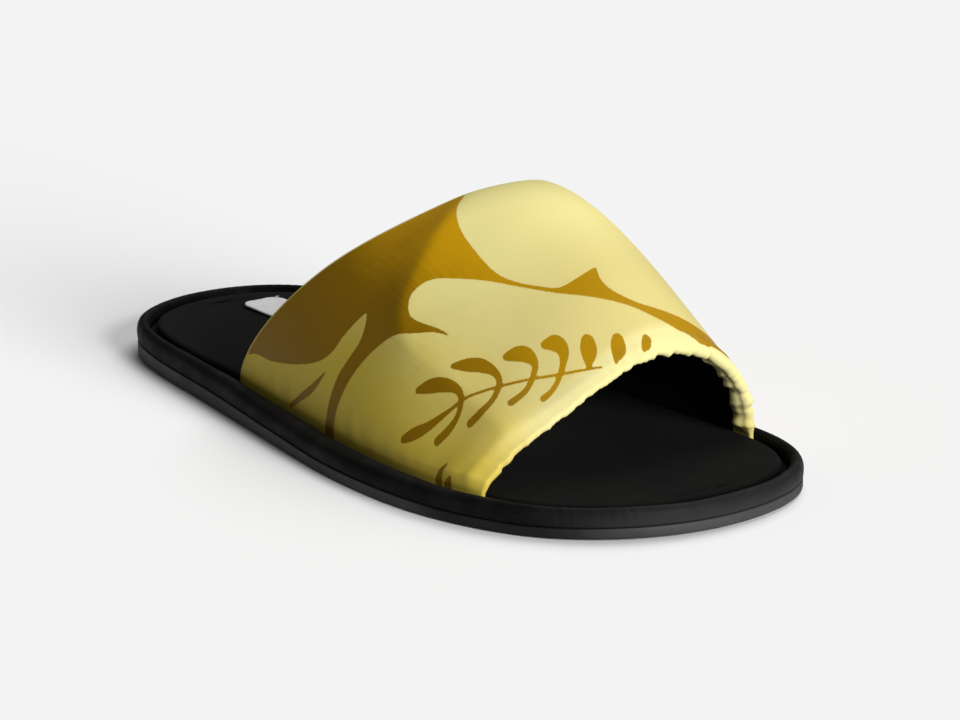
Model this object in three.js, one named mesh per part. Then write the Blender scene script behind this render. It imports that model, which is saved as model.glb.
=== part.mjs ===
// A right slide sandal: rubber outsole, bound footbed, label and one wide damask band over the instep.
// Millimetres. +X runs to the toe, +Y to the inner (medial) side, +Z up, the floor is Z = 0.
import * as THREE from 'three';

// Driving dimensions of the sole: half widths along the length. On the lateral side the bed and the band's
// foot follow a line of their own, so the border is broader there
const LENGTH = 285;
const OUTLINE = [
  { share: 0.0, lateral: 50.0, lateralBed: 50.0, medial: 46.6 },
  { share: 0.125, lateral: 48.1, lateralBed: 47.8, medial: 43.9 },
  { share: 0.25, lateral: 50.6, lateralBed: 49.0, medial: 44.1 },
  { share: 0.375, lateral: 56.0, lateralBed: 52.6, medial: 46.0 },
  { share: 0.5, lateral: 61.8, lateralBed: 57.2, medial: 48.4 },
  { share: 0.625, lateral: 66.2, lateralBed: 61.2, medial: 50.9 },
  { share: 0.75, lateral: 66.3, lateralBed: 62.7, medial: 53.1 },
  { share: 0.875, lateral: 61.0, lateralBed: 60.2, medial: 56.3 },
  { share: 1.0, lateral: 53.0, lateralBed: 53.0, medial: 57.5 },
];
const END_POWER = 6.4;
const SOLE_POINTS = 80;

// Heights along the length: underside, top of the rubber and crest of the border
const PROFILE = [
  { share: 0.0, floor: 0.9, rubber: 5.4, crest: 12.0 },
  { share: 0.06, floor: 0.0, rubber: 5.3, crest: 11.9 },
  { share: 0.3, floor: 0.0, rubber: 5.1, crest: 11.7 },
  { share: 0.45, floor: 0.5, rubber: 4.5, crest: 10.6 },
  { share: 0.58, floor: 0.0, rubber: 3.7, crest: 9.8 },
  { share: 0.88, floor: 0.0, rubber: 3.5, crest: 9.7 },
  { share: 1.0, floor: 0.6, rubber: 4.2, crest: 10.1 },
];
const GAP = 0.3;

// Rounded edges of the rubber: how far in from the outline, and the rise above the underside or the top
const RUBBER_EDGE = [
  { inset: 1.7, from: 'floor', rise: 0 },
  { inset: 0.7, from: 'floor', rise: 0.35 },
  { inset: 0.3, from: 'floor', rise: 1.0 },
  { inset: 0.3, from: 'rubber', rise: -0.7 },
  { inset: 1.2, from: 'rubber', rise: 0 },
];

// Border and footbed; lift is the share of the way from the rubber to the crest, and bed the share of the way
// from the sole's outline to the bed's line
const BINDING_WIDTH = 4.4;
const BINDING_SECTION = [
  { inset: 1.2, bed: 0, lift: 0 },
  { inset: 0.25, bed: 0, lift: 0.16 },
  { inset: 0, bed: 0, lift: 0.42 },
  { inset: 0.3, bed: 0, lift: 0.72 },
  { inset: 1.1, bed: 0.05, lift: 0.92 },
  { inset: 2.2, bed: 0.25, lift: 1 },
  { inset: 3.3, bed: 0.6, lift: 0.95 },
  { inset: 4.1, bed: 0.9, lift: 0.8 },
  { inset: BINDING_WIDTH, bed: 1, lift: 0.6 },
  { inset: BINDING_WIDTH, bed: 1, lift: 0 },
];
const GROOVE_WIDTH = 2.3;
const GROOVE_DEPTH = 3.4;
const BED_DROP = 1.1;
const BED_SHOULDER = 1.5;
const SHOULDER_BREAK = 0.3;
const BED_DISH = [
  { shrink: 0.8, drop: 0.42 },
  { shrink: 0.5, drop: 0.7 },
];

// Band over the instep: where its two edges stand on the sole, how high each arches, and how far its crown
// leans forward and lies off the middle
const EDGES = [
  { name: 'rear', lateralFoot: 94, medialFoot: 98, lean: 72.5, rise: 71.4, ridge: 0.3 },
  { name: 'front', lateralFoot: 236, medialFoot: 236, lean: 0.5, rise: 33, ridge: 0.29 },
];
// How full each flank is at its foot (low) and below the crown (full), at the rear and the front edge
const FLANKS = {
  lateral: [
    { name: 'rear', low: 0.36, full: 0.63 },
    { name: 'front', low: 0.14, full: 0.24 },
  ],
  medial: [
    { name: 'rear', low: 0.68, full: 0.76 },
    { name: 'front', low: 0.5, full: 0.72 },
  ],
};
const BELLY = 10;
const LEAN_POWER = 1.44;
const WALL = 1.6;
// Front hem: width along the cloth, extra thickness, depth of its puckers and reach of its scalloped lip
const HEM = { width: 4.6, extra: 1.1, pucker: 0.2, scallop: 0.3, waves: 17, plainSteps: 2 };
// Where the hem is thickest, as a share of a half wave over its width
const HEM_ROUND = 0.75;
const HEM_ROWS = 5;
const BODY_ROWS = 11;
const MARGIN_STEPS = 2;
const ARCH_STEPS = 84;
const CURVE_SAMPLES = 160;
const SLOPE_STEP = 0.5;

// Label on the footbed
const LABEL = { heel: 20, toe: 54, lateral: 2.5, medial: 17.5, thick: 0.5, corner: 1, cornerSteps: 3 };

// A smooth value between the rows of a table, by share of the length
function along(rows, key, share) {
  const at = THREE.MathUtils.clamp(share, 0, 1);
  let row = 0;
  while (row < rows.length - 2 && rows[row + 1].share < at) {
    row += 1;
  }
  const slope = (index) => {
    const low = rows[Math.max(index - 1, 0)];
    const high = rows[Math.min(index + 1, rows.length - 1)];
    return (high[key] - low[key]) / (high.share - low.share);
  };
  const from = rows[row];
  const to = rows[row + 1];
  const span = to.share - from.share;
  const t = (at - from.share) / span;
  const rest = 1 - t;
  const start = from[key] * (1 + 2 * t) * rest * rest + slope(row) * span * t * rest * rest;
  const end = to[key] * (3 - 2 * t) * t * t - slope(row + 1) * span * rest * t * t;
  return start + end;
}

// A height along the length that never swings past its table rows
function height(key, reach) {
  const share = THREE.MathUtils.clamp(reach / LENGTH, 0, 1);
  let row = 0;
  while (row < PROFILE.length - 2 && PROFILE[row + 1].share < share) {
    row += 1;
  }
  const from = PROFILE[row];
  const to = PROFILE[row + 1];
  const ease = THREE.MathUtils.smoothstep(share, from.share, to.share);
  return THREE.MathUtils.lerp(from[key], to[key], ease);
}

// Half width of the sole on one side, at a reach from the heel
function halfWidth(side, reach) {
  const share = THREE.MathUtils.clamp(reach / LENGTH, 0, 1);
  const closing = Math.sqrt(Math.max(1 - Math.abs(2 * share - 1) ** END_POWER, 0));
  return along(OUTLINE, side, share) * closing;
}

// The widest places set the box, and the origin stands under its middle
function widest(side) {
  let width = 0;
  for (let reach = 0; reach <= LENGTH; reach += 1) {
    width = Math.max(width, halfWidth(side, reach));
  }
  return width;
}
const SIDE_SHIFT = (widest('lateral') - widest('medial')) / 2;

function place(reach, across, up) {
  return new THREE.Vector3(reach - LENGTH / 2, across + SIDE_SHIFT, up);
}

// A point of the sole's outline: one turn runs up the lateral side and back down the medial side
function outlinePoint(turn, bed) {
  const reach = (LENGTH / 2) * (1 - Math.cos(turn));
  if (Math.sin(turn) < 0) {
    return new THREE.Vector2(reach, halfWidth('medial', reach));
  }
  const width = THREE.MathUtils.lerp(halfWidth('lateral', reach), halfWidth('lateralBed', reach), bed);
  return new THREE.Vector2(reach, -width);
}

// One closed ring round the sole, set in from its outline or the bed's and then shrunk towards the middle
function ring(inset, bed, heightAt, shrink = 1) {
  const points = [];
  for (let i = 0; i < SOLE_POINTS; i += 1) {
    const turn = (2 * Math.PI * i) / SOLE_POINTS;
    const step = Math.PI / SOLE_POINTS / 2;
    const tangent = outlinePoint(turn + step, bed).sub(outlinePoint(turn - step, bed)).normalize();
    const inward = new THREE.Vector2(-tangent.y, tangent.x);
    const at = outlinePoint(turn, bed).addScaledVector(inward, inset);
    at.x = LENGTH / 2 + (at.x - LENGTH / 2) * shrink;
    at.y *= shrink;
    points.push(place(at.x, at.y, heightAt(at.x)));
  }
  return points;
}

function solid(vertices, triangles) {
  const geometry = new THREE.BufferGeometry();
  const flat = vertices.flatMap((vertex) => vertex.toArray());
  geometry.setAttribute('position', new THREE.Float32BufferAttribute(flat, 3));
  geometry.setIndex(triangles);
  geometry.computeVertexNormals();
  return geometry;
}

// Skin between neighbouring rings, first ring lowest; a closed tube or a body capped across its ends
function loft(rings, tube) {
  const count = rings[0].length;
  const vertices = rings.flat();
  const triangles = [];
  const bands = tube ? rings.length : rings.length - 1;
  for (let band = 0; band < bands; band += 1) {
    const low = band * count;
    const high = ((band + 1) % rings.length) * count;
    for (let i = 0; i < count; i += 1) {
      const next = (i + 1) % count;
      triangles.push(low + i, low + next, high + next);
      triangles.push(low + i, high + next, high + i);
    }
  }
  if (!tube) {
    capAcross(triangles, 0, count, false);
    capAcross(triangles, (rings.length - 1) * count, count, true);
  }
  return solid(vertices, triangles);
}

// Strips from the lateral to the medial half of a ring
function capAcross(triangles, first, count, upward) {
  const face = (a, b, c) => {
    const [second, third] = upward ? [b, c] : [c, b];
    triangles.push(first + a, first + second, first + third);
  };
  const half = count / 2;
  face(0, 1, count - 1);
  for (let i = 1; i < half - 1; i += 1) {
    face(i, i + 1, count - i);
    face(i + 1, count - i - 1, count - i);
  }
  face(half - 1, half, half + 1);
}

// Rubber outsole: flat at heel and forefoot, raised a little at the waist and the toe tip
function outsole() {
  const rings = RUBBER_EDGE.map(({ inset, from, rise }) => {
    return ring(inset, 0, (reach) => height(from, reach) + rise);
  });
  return loft(rings, false);
}

function rubberTop(reach) {
  return height('rubber', reach) + GAP;
}

// Border: a rounded roll standing on the rubber's edge
function edgeBinding() {
  const rings = BINDING_SECTION.map(({ inset, bed, lift }) => {
    return ring(inset, bed, (reach) => THREE.MathUtils.lerp(rubberTop(reach), height('crest', reach), lift));
  });
  return loft(rings, true);
}

function bedHeight(reach) {
  return height('crest', reach) - BED_DROP;
}

function grooveFloor(reach) {
  return bedHeight(reach) - GROOVE_DEPTH;
}

// Footbed: a low flange under the groove, and a slightly dished bed inside it
function insole() {
  const flange = BINDING_WIDTH + GAP;
  const bed = BINDING_WIDTH + GROOVE_WIDTH;
  const broken = BED_SHOULDER * SHOULDER_BREAK;
  const below = (drop) => (reach) => bedHeight(reach) - drop;
  const rings = [
    ring(flange, 1, rubberTop),
    ring(flange, 1, grooveFloor),
    ring(bed, 1, grooveFloor),
    ring(bed, 1, below(BED_SHOULDER)),
    ring(bed + broken, 1, below(broken)),
    ring(bed + BED_SHOULDER, 1, bedHeight),
  ];
  for (const { shrink, drop } of BED_DISH) {
    rings.push(ring(bed + BED_SHOULDER, 1, below(drop), shrink));
  }
  return loft(rings, false);
}

// Half of an arch from its foot (0, 0) to its crown (1, 1), as one cubic curve
function halfArch(low, full, t) {
  const rest = 1 - t;
  const lower = 3 * t * rest * rest;
  const upper = 3 * t * t * rest;
  const inward = upper * (1 - full) + t ** 3;
  const up = lower * low + upper + t ** 3;
  return { inward, up };
}

// Where the band's wall comes out of the groove, on one side
function footAcross(side, reach) {
  const widening = halfWidth(side, reach + SLOPE_STEP) - halfWidth(side, reach - SLOPE_STEP);
  const inset = BINDING_WIDTH + GROOVE_WIDTH / 2;
  return halfWidth(side, reach) - inset * Math.hypot(1, widening / (2 * SLOPE_STEP));
}

// Middle of the band's wall, at a share from rear to front edge and a place along the arch
function bandPoint(share, side, t) {
  const lateralSide = side === 'lateral';
  const [rear, front] = EDGES;
  const blend = (rows, key) => THREE.MathUtils.lerp(rows[0][key], rows[1][key], share);
  const { inward, up } = halfArch(blend(FLANKS[side], 'low'), blend(FLANKS[side], 'full'), t);
  const across = lateralSide ? inward / 2 : 1 - inward / 2;
  const edgeReach = (edge) => {
    const foot = THREE.MathUtils.lerp(edge.lateralFoot, edge.medialFoot, across);
    return foot + edge.lean * up ** LEAN_POWER;
  };
  const reach = THREE.MathUtils.lerp(edgeReach(rear), edgeReach(front), share);
  const lateral = -footAcross('lateralBed', reach);
  const medial = footAcross('medial', reach);
  const crown = (lateral + medial) / 2 + (blend(EDGES, 'ridge') * (medial - lateral)) / 2;
  const foot = lateralSide ? lateral : medial;
  const rise = blend(EDGES, 'rise') + BELLY * 4 * share * (1 - share);
  return place(reach, THREE.MathUtils.lerp(foot, crown, inward), bedHeight(reach) + rise * up);
}

// Places along the arch at even distances, from the lateral foot over the crown to the medial foot
function evenArch(share) {
  const walk = [];
  for (let i = 0; i <= 2 * CURVE_SAMPLES; i += 1) {
    const lateral = i <= CURVE_SAMPLES;
    const t = lateral ? i / CURVE_SAMPLES : 2 - i / CURVE_SAMPLES;
    walk.push({ side: lateral ? 'lateral' : 'medial', t });
  }
  const points = walk.map(({ side, t }) => bandPoint(share, side, t));
  const run = [0];
  for (let i = 1; i < points.length; i += 1) {
    run.push(run[i - 1] + points[i].distanceTo(points[i - 1]));
  }
  const total = run[run.length - 1];
  const even = [];
  let at = 0;
  for (let step = 0; step <= ARCH_STEPS; step += 1) {
    const goal = (total * step) / ARCH_STEPS;
    while (at < run.length - 2 && run[at + 1] < goal) {
      at += 1;
    }
    const part = (goal - run[at]) / (run[at + 1] - run[at]);
    even.push(points[at].clone().lerp(points[at + 1], part));
  }
  return even;
}

// One row of the band's wall: up the lateral margin, over the arch and down the medial margin
function bandRow(share) {
  const arch = evenArch(share);
  const margin = (foot) => {
    const reach = foot.x + LENGTH / 2;
    const bottom = grooveFloor(reach) + GAP;
    const steps = [];
    for (let i = 0; i < MARGIN_STEPS; i += 1) {
      const up = THREE.MathUtils.lerp(bottom, foot.z, i / MARGIN_STEPS);
      steps.push(new THREE.Vector3(foot.x, foot.y, up));
    }
    return steps;
  };
  const rising = margin(arch[0]);
  const falling = margin(arch[ARCH_STEPS]).reverse();
  return [...rising, ...arch, ...falling];
}

// Shares of the rows from rear to front edge, close together over the hem
function bandShares() {
  const [rear, front] = EDGES;
  const span = front.lateralFoot - rear.lateralFoot;
  const hemStart = 1 - HEM.width / span;
  const shares = [];
  for (let row = 0; row < BODY_ROWS; row += 1) {
    shares.push((hemStart * row) / (BODY_ROWS - 1));
  }
  for (let row = 1; row <= HEM_ROWS; row += 1) {
    shares.push(THREE.MathUtils.lerp(hemStart, 1, row / HEM_ROWS));
  }
  return shares;
}

// Upper: one hollow wall of even thickness with a fuller, puckered hem along its front edge
function upper() {
  const rows = bandShares().map(bandRow);
  const lastRow = rows.length - 1;
  const lastColumn = rows[0].length - 1;
  const at = (row, column) => rows[row][column];
  const normal = (row, column) => {
    const ahead = at(Math.min(row + 1, lastRow), column).clone();
    ahead.sub(at(Math.max(row - 1, 0), column));
    const over = at(row, Math.min(column + 1, lastColumn)).clone();
    over.sub(at(row, Math.max(column - 1, 0)));
    return ahead.cross(over).normalize();
  };
  const firstFree = MARGIN_STEPS + HEM.plainSteps;
  const vertices = [];
  const layer = (sign) => {
    for (let row = 0; row <= lastRow; row += 1) {
      const hem = Math.max(row - (BODY_ROWS - 1), 0) / HEM_ROWS;
      const fullness = Math.sin(Math.PI * HEM_ROUND * hem);
      for (let column = 0; column <= lastColumn; column += 1) {
        const free = column >= firstFree && column <= lastColumn - firstFree ? 1 : 0;
        const wave = free * Math.sin((2 * Math.PI * HEM.waves * column) / lastColumn);
        const half = WALL / 2 + (HEM.extra / 2) * fullness * free;
        const offset = sign * half + HEM.pucker * wave * fullness;
        const vertex = at(row, column).clone().addScaledVector(normal(row, column), offset);
        vertex.x += HEM.scallop * wave * hem;
        vertices.push(vertex);
      }
    }
  };
  layer(1);
  layer(-1);
  const columns = lastColumn + 1;
  const inner = rows.length * columns;
  const outside = (row, column) => row * columns + column;
  const inside = (row, column) => inner + row * columns + column;
  const triangles = [];
  const quad = (a, b, c, d) => triangles.push(a, b, c, a, c, d);
  for (let row = 0; row < lastRow; row += 1) {
    for (let column = 0; column < lastColumn; column += 1) {
      const corners = [[row, column], [row + 1, column], [row + 1, column + 1], [row, column + 1]];
      quad(...corners.map(([r, c]) => outside(r, c)));
      quad(...corners.reverse().map(([r, c]) => inside(r, c)));
    }
  }
  const closeEdge = (from, to) => quad(outside(...from), outside(...to), inside(...to), inside(...from));
  for (let column = 0; column < lastColumn; column += 1) {
    closeEdge([0, column], [0, column + 1]);
    closeEdge([lastRow, column + 1], [lastRow, column]);
  }
  for (let row = 0; row < lastRow; row += 1) {
    closeEdge([row + 1, 0], [row, 0]);
    closeEdge([row, lastColumn], [row + 1, lastColumn]);
  }
  return solid(vertices, triangles);
}

// Label: a thin plate with rounded corners lying on the bed
function label() {
  const long = LABEL.toe - LABEL.heel;
  const wide = LABEL.medial - LABEL.lateral;
  const shape = new THREE.Shape();
  const quarter = Math.PI / 2;
  const corners = [
    { x: long - LABEL.corner, y: LABEL.corner, turn: -quarter },
    { x: long - LABEL.corner, y: wide - LABEL.corner, turn: 0 },
    { x: LABEL.corner, y: wide - LABEL.corner, turn: quarter },
    { x: LABEL.corner, y: LABEL.corner, turn: 2 * quarter },
  ];
  for (const { x, y, turn } of corners) {
    shape.absarc(x, y, LABEL.corner, turn, turn + quarter, false);
  }
  const extrusion = { depth: LABEL.thick, bevelEnabled: false, curveSegments: LABEL.cornerSteps };
  const geometry = new THREE.ExtrudeGeometry(shape, extrusion);
  const corner = place(LABEL.heel, LABEL.lateral, bedHeight(LABEL.heel) + GAP);
  geometry.translate(corner.x, corner.y, corner.z);
  return geometry;
}

function piece(name, geometry, color, roughness) {
  const material = new THREE.MeshStandardMaterial({ color, roughness, metalness: 0 });
  const mesh = new THREE.Mesh(geometry, material);
  mesh.name = name;
  return mesh;
}

const sandal = new THREE.Group();
sandal.add(piece('outsole', outsole(), 0x2c2c2c, 0.75));
sandal.add(piece('edge_binding', edgeBinding(), 0x161616, 0.6));
sandal.add(piece('insole', insole(), 0x111111, 0.95));
sandal.add(piece('label', label(), 0xf2f2f0, 0.7));
sandal.add(piece('upper', upper(), 0xc9a437, 0.45));

export default sandal;
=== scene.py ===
import math

import bmesh
import bpy
import numpy as np
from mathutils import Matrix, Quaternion, Vector


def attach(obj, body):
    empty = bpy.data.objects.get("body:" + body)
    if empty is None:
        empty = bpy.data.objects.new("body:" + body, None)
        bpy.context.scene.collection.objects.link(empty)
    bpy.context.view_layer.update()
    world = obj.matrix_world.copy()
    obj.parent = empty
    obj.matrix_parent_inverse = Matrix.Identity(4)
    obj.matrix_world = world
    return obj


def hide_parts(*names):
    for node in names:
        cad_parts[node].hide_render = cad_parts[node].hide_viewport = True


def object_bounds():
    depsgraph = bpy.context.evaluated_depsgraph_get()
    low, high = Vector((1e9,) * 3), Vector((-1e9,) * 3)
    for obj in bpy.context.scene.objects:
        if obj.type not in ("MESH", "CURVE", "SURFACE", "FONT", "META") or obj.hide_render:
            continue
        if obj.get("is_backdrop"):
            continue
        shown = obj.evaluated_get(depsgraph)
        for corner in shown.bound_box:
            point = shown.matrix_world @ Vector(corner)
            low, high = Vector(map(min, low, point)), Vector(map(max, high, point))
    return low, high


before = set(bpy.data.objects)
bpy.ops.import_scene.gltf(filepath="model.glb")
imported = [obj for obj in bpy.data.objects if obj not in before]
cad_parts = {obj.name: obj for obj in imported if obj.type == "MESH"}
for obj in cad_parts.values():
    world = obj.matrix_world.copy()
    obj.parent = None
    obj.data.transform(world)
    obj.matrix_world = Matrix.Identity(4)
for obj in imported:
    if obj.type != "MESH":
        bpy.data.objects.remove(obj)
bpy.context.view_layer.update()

# Outsole: the thin black rubber sole that the sandal walks on, thicker under the heel and curled up a
# little at the toe. It is moulded in one piece with a rounded lower edge and cemented under the footbed.
# Wear has greyed it, and a painted shade darkens a stretch of the forefoot behind the toe.
MM = 0.001
LENGTH = 285.0
OUTLINE = [
    dict(share=0.0, lateral=50.0, lateral_bed=50.0, medial=46.6),
    dict(share=0.125, lateral=48.1, lateral_bed=47.8, medial=43.9),
    dict(share=0.25, lateral=50.6, lateral_bed=49.0, medial=44.1),
    dict(share=0.375, lateral=56.0, lateral_bed=52.6, medial=46.0),
    dict(share=0.5, lateral=61.8, lateral_bed=57.2, medial=48.4),
    dict(share=0.625, lateral=66.2, lateral_bed=61.2, medial=50.9),
    dict(share=0.75, lateral=66.3, lateral_bed=62.7, medial=53.1),
    dict(share=0.875, lateral=61.0, lateral_bed=60.2, medial=56.3),
    dict(share=1.0, lateral=53.0, lateral_bed=53.0, medial=57.5),
]
END_POWER = 6.4
PROFILE = [
    dict(share=0.0, floor=0.9, rubber=5.4, crest=12.0),
    dict(share=0.06, floor=0.0, rubber=5.3, crest=11.9),
    dict(share=0.3, floor=0.0, rubber=5.1, crest=11.7),
    dict(share=0.45, floor=0.5, rubber=4.5, crest=10.6),
    dict(share=0.58, floor=0.0, rubber=3.7, crest=9.8),
    dict(share=0.88, floor=0.0, rubber=3.5, crest=9.7),
    dict(share=1.0, floor=0.6, rubber=4.2, crest=10.1),
]
OUTSOLE_COLUMNS = 320
OUTSOLE_SECTION = [
    dict(inset=3.0, closing=1.0, rubber=0.0, lift=0.0),
    dict(inset=3.0, closing=0.6, rubber=0.0, lift=0.0),
    dict(inset=3.0, closing=0.25, rubber=0.0, lift=0.0),
    dict(inset=3.0, closing=0.0, rubber=0.0, lift=0.0),
    dict(inset=1.6, closing=0.0, rubber=0.0, lift=0.02),
    dict(inset=0.9, closing=0.0, rubber=0.0, lift=0.2),
    dict(inset=0.45, closing=0.0, rubber=0.0, lift=0.55),
    dict(inset=0.3, closing=0.0, rubber=0.0, lift=1.1),
    dict(inset=0.3, closing=0.0, rubber=1.0, lift=-0.3),
    dict(inset=0.36, closing=0.0, rubber=1.0, lift=-0.12),
    dict(inset=0.5, closing=0.0, rubber=1.0, lift=-0.03),
    dict(inset=0.9, closing=0.0, rubber=1.0, lift=0.0),
    dict(inset=6.0, closing=0.0, rubber=1.0, lift=0.0),
    dict(inset=6.0, closing=1.0, rubber=1.0, lift=0.0),
]
SEAM_MERGE = 0.002
RUBBER_DARK = (0.005, 0.005, 0.0051, 1.0)
RUBBER_WORN = (0.036, 0.036, 0.0363, 1.0)
# Where shade is painted darker into the rubber: a stretch of the forefoot, by its middle and its soft ends.
SHADED_STRETCH = dict(middle=104.0, near=14.0, far=40.0)
RUBBER_WEAR_AND_SHADE = dict(cloud=0.5, out_of_shade=0.75, low=0.15, high=1.1)


def mix(first, second, share):
    return first + (second - first) * share


def table_column(rows, key):
    return np.array([row[key] for row in rows])


def half_width(side, reach):
    """Half width of the sole on one side, at a reach from the heel, smooth between the outline's rows."""
    at = table_column(OUTLINE, "share")
    value = table_column(OUTLINE, side)
    slope = np.gradient(value, at)
    share = np.clip(np.asarray(reach) / LENGTH, 0.0, 1.0)
    row = np.clip(np.searchsorted(at, share) - 1, 0, len(at) - 2)
    span = at[row + 1] - at[row]
    t = (share - at[row]) / span
    rest = 1.0 - t
    start = value[row] * (1 + 2 * t) * rest**2 + slope[row] * span * t * rest**2
    end = value[row + 1] * (3 - 2 * t) * t**2 - slope[row + 1] * span * rest * t**2
    closing = np.sqrt(np.maximum(1.0 - np.abs(2 * share - 1) ** END_POWER, 0.0))
    return (start + end) * closing


def height(key, reach):
    """A height along the length that never swings past the profile's rows."""
    at = table_column(PROFILE, "share")
    value = table_column(PROFILE, key)
    share = np.clip(np.asarray(reach) / LENGTH, 0.0, 1.0)
    row = np.clip(np.searchsorted(at, share) - 1, 0, len(at) - 2)
    t = np.clip((share - at[row]) / (at[row + 1] - at[row]), 0.0, 1.0)
    return mix(value[row], value[row + 1], t * t * (3 - 2 * t))


every_mm = np.arange(0.0, LENGTH + 1.0)
SIDE_SHIFT = (half_width("lateral", every_mm).max() - half_width("medial", every_mm).max()) / 2


def place(reach, across, up):
    """A point of the part's frame, in millimetres, from its reach, its place across and its height."""
    reach, across, up = np.broadcast_arrays(reach, across, up)
    return np.stack([reach - LENGTH / 2, across + SIDE_SHIFT, up], axis=-1)


def outline(turn, bed):
    """The sole's outline, or the bed's: one turn runs up the lateral side and back down the medial side."""
    reach = LENGTH / 2 * (1 - np.cos(turn))
    lateral = half_width("lateral", reach) * (1 - bed) + half_width("lateral_bed", reach) * bed
    across = np.where(np.sin(turn) >= 0, -lateral, half_width("medial", reach))
    return reach, across


def ring(columns, inset, closing=0.0, bed=0.0):
    """Reach and place across of one ring round the sole, set in, then drawn to the middle line."""
    turn = np.linspace(0.0, 2 * math.pi, columns + 1)
    step = math.pi / columns / 2
    before, after = outline(turn - step, bed), outline(turn + step, bed)
    run, side = after[0] - before[0], after[1] - before[1]
    long = np.hypot(run, side)
    reach, across = outline(turn, bed)
    centre = inset + reach * (1 - 2 * inset / LENGTH)
    reach = (reach - side / long * inset) * (1 - closing) + centre * closing
    return reach, (across + run / long * inset) * (1 - closing)


def warped_grid(points, fields=None, cloth=None):
    """A grid laid on rows and columns of points, with vertex fields and a cloth map in millimetres."""
    rows, columns = points.shape[0] - 1, points.shape[1] - 1
    grid = bmesh.new()
    layers = {name: grid.verts.layers.float.new(name) for name in fields or {}}
    bmesh.ops.create_grid(grid, x_segments=columns, y_segments=rows, size=1.0)
    spot = {}
    for vertex in grid.verts:
        column = round((vertex.co.x + 1) / 2 * columns)
        row = round((vertex.co.y + 1) / 2 * rows)
        spot[vertex] = (row, column)
        vertex.co = points[row, column] * MM
        for name, layer in layers.items():
            vertex[layer] = fields[name][row, column]
    if cloth is not None:
        cloth_map = grid.loops.layers.uv.new("cloth")
        for face in grid.faces:
            for loop in face.loops:
                loop[cloth_map].uv = cloth[spot[loop.vert]] * MM
    return grid, spot


def finish_piece(name, shape, materials, crease=50):
    """Merges seams, turns faces outwards, and makes the shape a smooth-shaded object."""
    bmesh.ops.remove_doubles(shape, verts=shape.verts, dist=SEAM_MERGE * MM)
    bmesh.ops.recalc_face_normals(shape, faces=shape.faces)
    mesh = bpy.data.meshes.new(name)
    shape.to_mesh(mesh)
    shape.free()
    mesh.shade_smooth()
    mesh.set_sharp_from_angle(angle=math.radians(crease))
    for material in materials:
        mesh.materials.append(material)
    piece = bpy.data.objects.new(name, mesh)
    bpy.context.scene.collection.objects.link(piece)
    return piece


def feed(tree, socket, value):
    """Links a shader value to a socket, or sets a constant on it."""
    if isinstance(value, bpy.types.NodeSocket):
        tree.links.new(value, socket)
    else:
        socket.default_value = value


def add_node(tree, kind, settings=None, **inputs):
    """A shader node with its settings, and with its inputs fed by name, or by number as i0, i1 and so on."""
    made = tree.nodes.new(kind)
    for key, value in (settings or {}).items():
        setattr(made, key, value)
    for key, value in inputs.items():
        numbered = key[0] == "i" and key[1:].isdigit()
        feed(tree, made.inputs[int(key[1:]) if numbered else key], value)
    return made


def sum_of(tree, operation, first, second=0.0, third=0.0):
    """One step of arithmetic on shader values."""
    made = add_node(tree, "ShaderNodeMath", dict(operation=operation), i0=first, i1=second, i2=third)
    return made.outputs[0]


def blend_of(tree, share, first, second):
    """A colour between two, by a share."""
    made = add_node(tree, "ShaderNodeMix", dict(data_type="RGBA"))
    for key, value in (("Factor_Float", share), ("A_Color", first), ("B_Color", second)):
        feed(tree, next(socket for socket in made.inputs if socket.identifier == key), value)
    return next(socket for socket in made.outputs if socket.identifier == "Result_Color")


def ramp_of(tree, value, low, high, start=0.0, end=1.0):
    """A soft step of a value from one level to another."""
    limits = {"From Min": low, "From Max": high, "To Min": start, "To Max": end}
    soft = dict(interpolation_type="SMOOTHSTEP")
    return add_node(tree, "ShaderNodeMapRange", soft, Value=value, **limits).outputs["Result"]


def noise_of(tree, where, scale, detail=3.0, roughness=0.55):
    """Cloudy noise, as a value from 0 to 1."""
    sizes = dict(Scale=scale, Detail=detail, Roughness=roughness)
    return add_node(tree, "ShaderNodeTexNoise", Vector=where, **sizes).outputs["Fac"]


def bump_of(tree, value, strength, distance, over=None):
    """A surface raised by a value, by a distance in millimetres, over another bump or none."""
    made = add_node(tree, "ShaderNodeBump", Height=value, Strength=strength, Distance=distance * MM)
    if over is not None:
        tree.links.new(over, made.inputs["Normal"])
    return made.outputs["Normal"]


def split_of(tree, where):
    """The X, Y and Z of a place."""
    return add_node(tree, "ShaderNodeSeparateXYZ", Vector=where).outputs


def finish_of(name):
    """A new material: its node tree, its shader and the piece's own coordinates."""
    material = bpy.data.materials.new(name)
    material.use_nodes = True
    tree = material.node_tree
    where = add_node(tree, "ShaderNodeTexCoord").outputs["Object"]
    return material, tree, tree.nodes["Principled BSDF"], where


def dress(tree, shader, looks):
    """Feeds a material's shader, socket by socket."""
    for name, value in looks.items():
        feed(tree, shader.inputs[name], value)


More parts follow.
